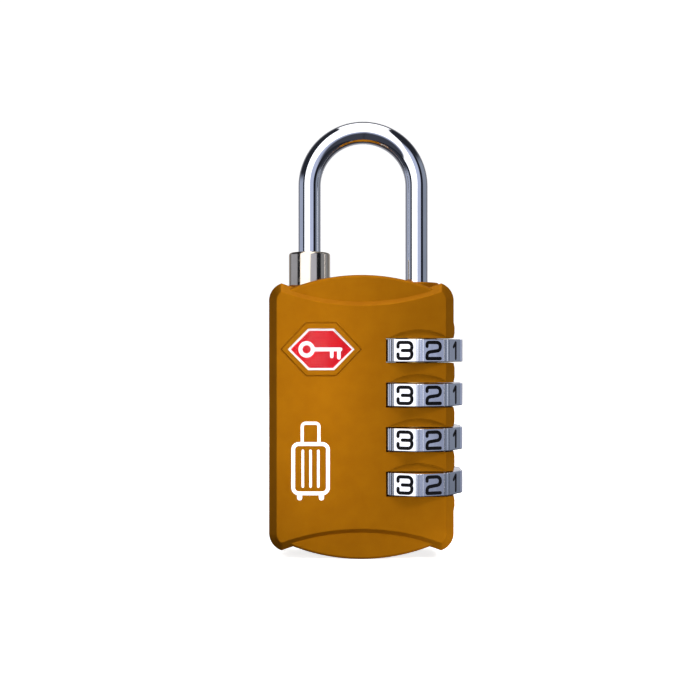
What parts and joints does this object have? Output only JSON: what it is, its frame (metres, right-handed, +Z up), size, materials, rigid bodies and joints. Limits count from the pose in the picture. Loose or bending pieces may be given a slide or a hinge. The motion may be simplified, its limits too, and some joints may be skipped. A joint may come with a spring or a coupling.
{
  "type": "luggage combination padlock",
  "caption": "Dial combination padlock for luggage, with a steel shackle, a drop-down toe collar and an override key core.",
  "frame": {"origin": "middle of the housing's flat back face", "axes": "+Y out of the back face, -Y towards the reader of the dials, +Z up the shackle legs, +X towards the dial side"},
  "size_m": [0.0318, 0.0154, 0.0719],
  "materials": {
    "cover_paint": "satin mustard orange paint",
    "body_paint": "satin mustard orange paint",
    "shackle_chrome": "polished chrome",
    "dial_chrome": "bright plated",
    "collar_nickel": "satin nickel",
    "steel": "plain steel",
    "spring_steel": "spring wire",
    "brass": "turned brass",
    "badge_white": "glossy white",
    "badge_red": "glossy red",
    "digit_ink": "black paint filled into the digits",
    "print_ink": "white pad print",
    "badge_resin": "clear resin dome"
  },
  "bodies": {
    "housing": {"front_cover": "cover_paint", "middle_body": "body_paint", "back_cover": "cover_paint", "cover_pins": "steel", "badge_plate": "badge_white", "badge_enamel": "badge_red", "badge_dome": "badge_resin", "detent_spring": "spring_steel", "clutch_spring": "spring_steel", "shackle_spring": "spring_steel", "spring_plug": "steel", "leg_bushing": "body_paint", "key_sleeve": "brass", "spring_washer": "steel", "collar_spring": "spring_steel"},
    "shackle": {"shackle": "shackle_chrome"},
    "dial_1": {"dial_1": "dial_chrome"},
    "dial_2": {"dial_2": "dial_chrome"},
    "dial_3": {"dial_3": "dial_chrome"},
    "dial_4": {"dial_4": "dial_chrome"},
    "hub_1": {"hub_1": "brass"},
    "hub_2": {"hub_2": "brass"},
    "hub_3": {"hub_3": "brass"},
    "hub_4": {"hub_4": "brass"},
    "key_core": {"key_plug": "brass", "key_wafers": "brass", "wafer_springs": "spring_steel", "plug_clip": "spring_steel", "cam_barrel": "steel"},
    "collar": {"collar": "collar_nickel", "collar_stem": "steel", "collar_pin": "steel"}
  },
  "joints": [
    {"name": "shackle_lift", "type": "slide", "parent": "housing", "child": "shackle", "axis": [0, 0, 1], "range_m": [0, 0.0059], "deforming": ["shackle_spring"]},
    {"name": "dial_1_turn", "type": "hinge", "parent": "housing", "child": "dial_1", "pos_m": [0.00925, -0.006, 0.01077], "axis": [0, 0, 1], "continuous": true},
    {"name": "dial_2_turn", "type": "hinge", "parent": "housing", "child": "dial_2", "pos_m": [0.00925, -0.006, 0.00359], "axis": [0, 0, 1], "continuous": true},
    {"name": "dial_3_turn", "type": "hinge", "parent": "housing", "child": "dial_3", "pos_m": [0.00925, -0.006, -0.00359], "axis": [0, 0, 1], "continuous": true},
    {"name": "dial_4_turn", "type": "hinge", "parent": "housing", "child": "dial_4", "pos_m": [0.00925, -0.006, -0.01077], "axis": [0, 0, 1], "continuous": true},
    {"name": "hub_4_shift", "type": "slide", "parent": "dial_4", "child": "hub_4", "axis": [0, 0, -1], "range_m": [0, 0.0012], "stiffness_N_per_m": 250, "springref_m": -0.001, "deforming": ["clutch_spring"]},
    {"name": "hub_1_shift", "type": "slide", "parent": "dial_1", "child": "hub_1", "axis": [0, 0, -1], "range_m": [0, 0.0012]},
    {"name": "hub_2_shift", "type": "slide", "parent": "dial_2", "child": "hub_2", "axis": [0, 0, -1], "range_m": [0, 0.0012]},
    {"name": "hub_3_shift", "type": "slide", "parent": "dial_3", "child": "hub_3", "axis": [0, 0, -1], "range_m": [0, 0.0012]},
    {"name": "key_turn", "type": "hinge", "parent": "housing", "child": "key_core", "pos_m": [-0.0086, -0.006, -0.021], "axis": [0, 0, 1], "range_deg": [0, 90]},
    {"name": "collar_drop", "type": "slide", "parent": "housing", "child": "collar", "axis": [0, 0, -1], "range_m": [0, 0.0051], "stiffness_N_per_m": 150, "springref_m": -0.002, "deforming": ["collar_spring"]}
  ],
  "couplings": [
    {"joint": "hub_1_shift", "follows": "hub_4_shift", "ratio": 1},
    {"joint": "hub_2_shift", "follows": "hub_4_shift", "ratio": 1},
    {"joint": "hub_3_shift", "follows": "hub_4_shift", "ratio": 1},
    {"joint": "key_turn", "follows": "collar_drop", "rad_per_m": 308}
  ]
}
